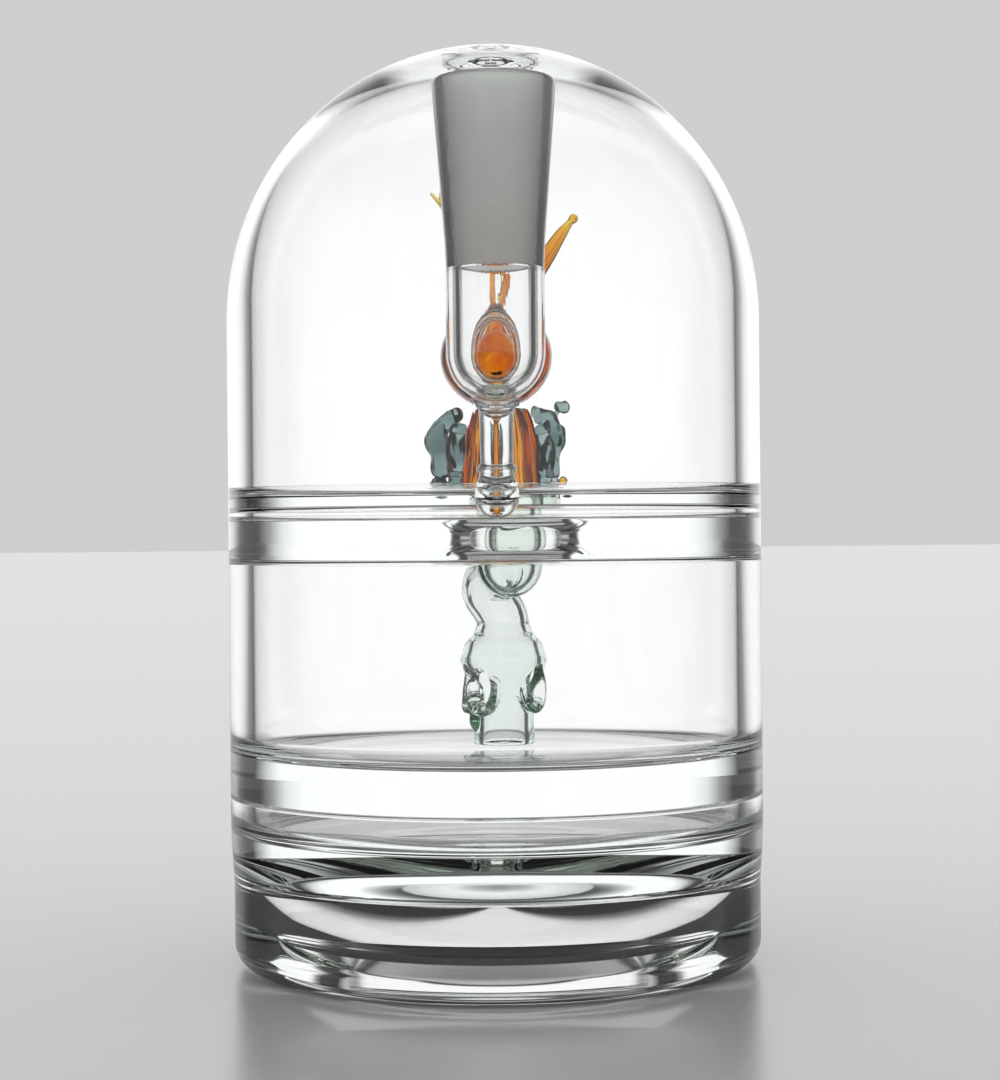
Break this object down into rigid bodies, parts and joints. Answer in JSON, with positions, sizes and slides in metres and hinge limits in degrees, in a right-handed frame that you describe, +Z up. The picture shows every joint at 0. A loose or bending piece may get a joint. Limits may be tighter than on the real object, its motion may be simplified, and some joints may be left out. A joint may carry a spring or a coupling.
{
  "type": "domed glass bubbler",
  "caption": "Domed clear glass bubbler on thick slab floors, with a ground joint in front, an amber glass tree under the dome and a percolator in the water chamber below.",
  "frame": {"origin": "on the table under the middle of the piece, half way between the joint's front and the mouthpiece's back", "axes": "+Z up along the can's axis, -Y towards the front where the ground joint stands, +X to the right seen from the front"},
  "size_m": [0.088, 0.127, 0.1515],
  "materials": {
    "clear_glass": "polished clear borosilicate with a faint green edge tint",
    "frosted_glass": "ground matt, fine sandblasted grain",
    "perc_glass": "polished, pale grey green",
    "amber_glass": "polished transparent amber, yellow where thin",
    "smoky_glass": "polished transparent smoky blue grey"
  },
  "bodies": {
    "root": {"foot_ring": "clear_glass", "base_slab": "clear_glass", "lower_spacer_wall": "clear_glass", "chamber_floor": "clear_glass", "chamber_wall": "clear_glass", "mid_slab": "clear_glass", "upper_spacer_ring": "clear_glass", "deck": "clear_glass", "dome": "clear_glass", "joint_bulb": "clear_glass", "bridge_tube": "clear_glass", "support_rod": "clear_glass", "support_ball": "clear_glass", "mouthpiece_tube": "clear_glass", "mouthpiece_lip": "clear_glass", "joint_socket": "frosted_glass", "down_tube": "perc_glass", "s_bend_tube": "perc_glass", "perc_bulb": "perc_glass", "amber_trunk": "amber_glass", "amber_head": "amber_glass", "amber_stem": "amber_glass", "amber_fork": "amber_glass", "amber_branch": "amber_glass", "amber_strand": "amber_glass", "amber_bud": "amber_glass", "smoky_column_left": "smoky_glass", "smoky_column_right": "smoky_glass", "smoky_arm_left": "smoky_glass", "smoky_arm_right": "smoky_glass", "smoky_foot_left": "smoky_glass", "smoky_foot_right": "smoky_glass", "smoky_finial": "smoky_glass"}
  },
  "joints": []
}
